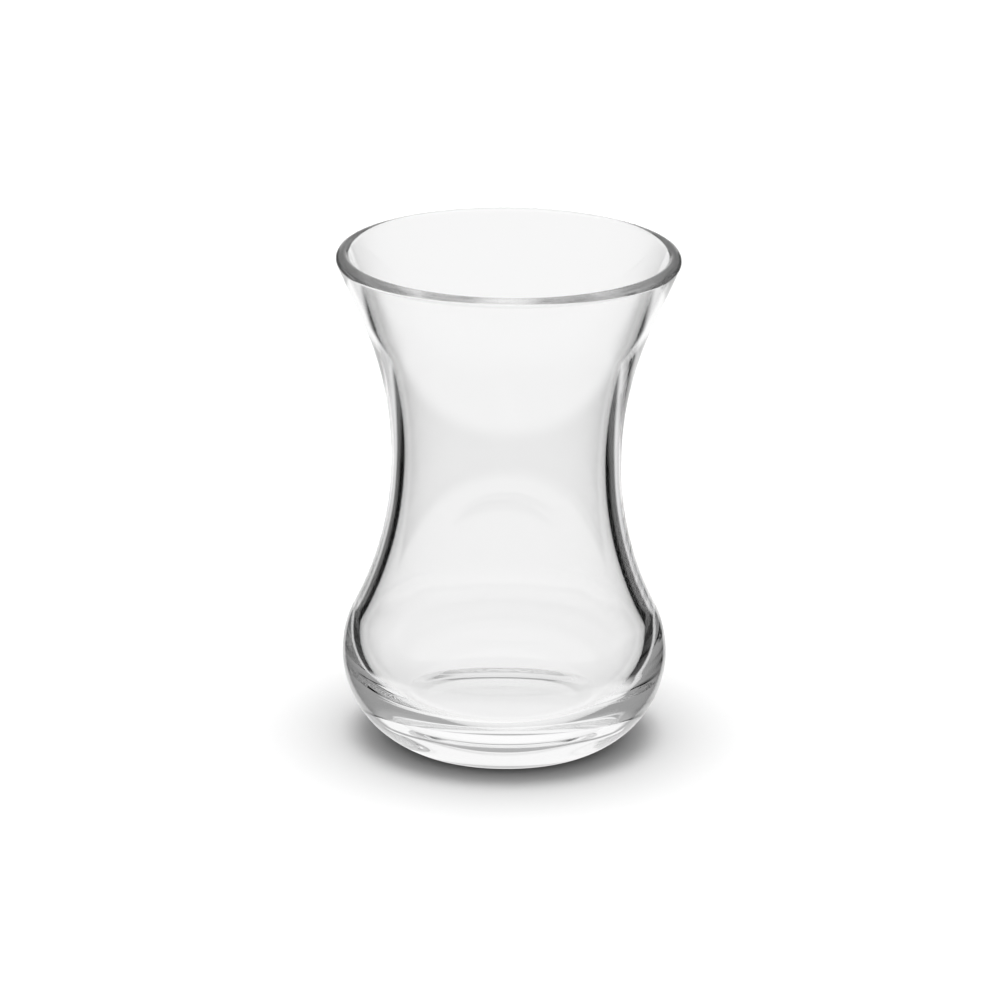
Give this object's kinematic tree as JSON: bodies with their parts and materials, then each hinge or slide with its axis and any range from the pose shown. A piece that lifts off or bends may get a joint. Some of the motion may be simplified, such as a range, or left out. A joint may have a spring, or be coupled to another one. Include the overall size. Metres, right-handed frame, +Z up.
{
  "type": "turkish tea glass",
  "caption": "Empty clear tulip-shaped tea glass with a flared mouth, a narrow waist, a rounded belly and a thick base.",
  "frame": {"origin": "centre of the foot, on the surface that the glass stands on", "axes": "+Z up along the axis that the glass is turned about, towards the mouth"},
  "size_m": [0.063, 0.063, 0.0932],
  "materials": {
    "clear_glass": "fire-polished clear soda-lime glass"
  },
  "bodies": {
    "root": {"glass": "clear_glass"}
  },
  "joints": []
}
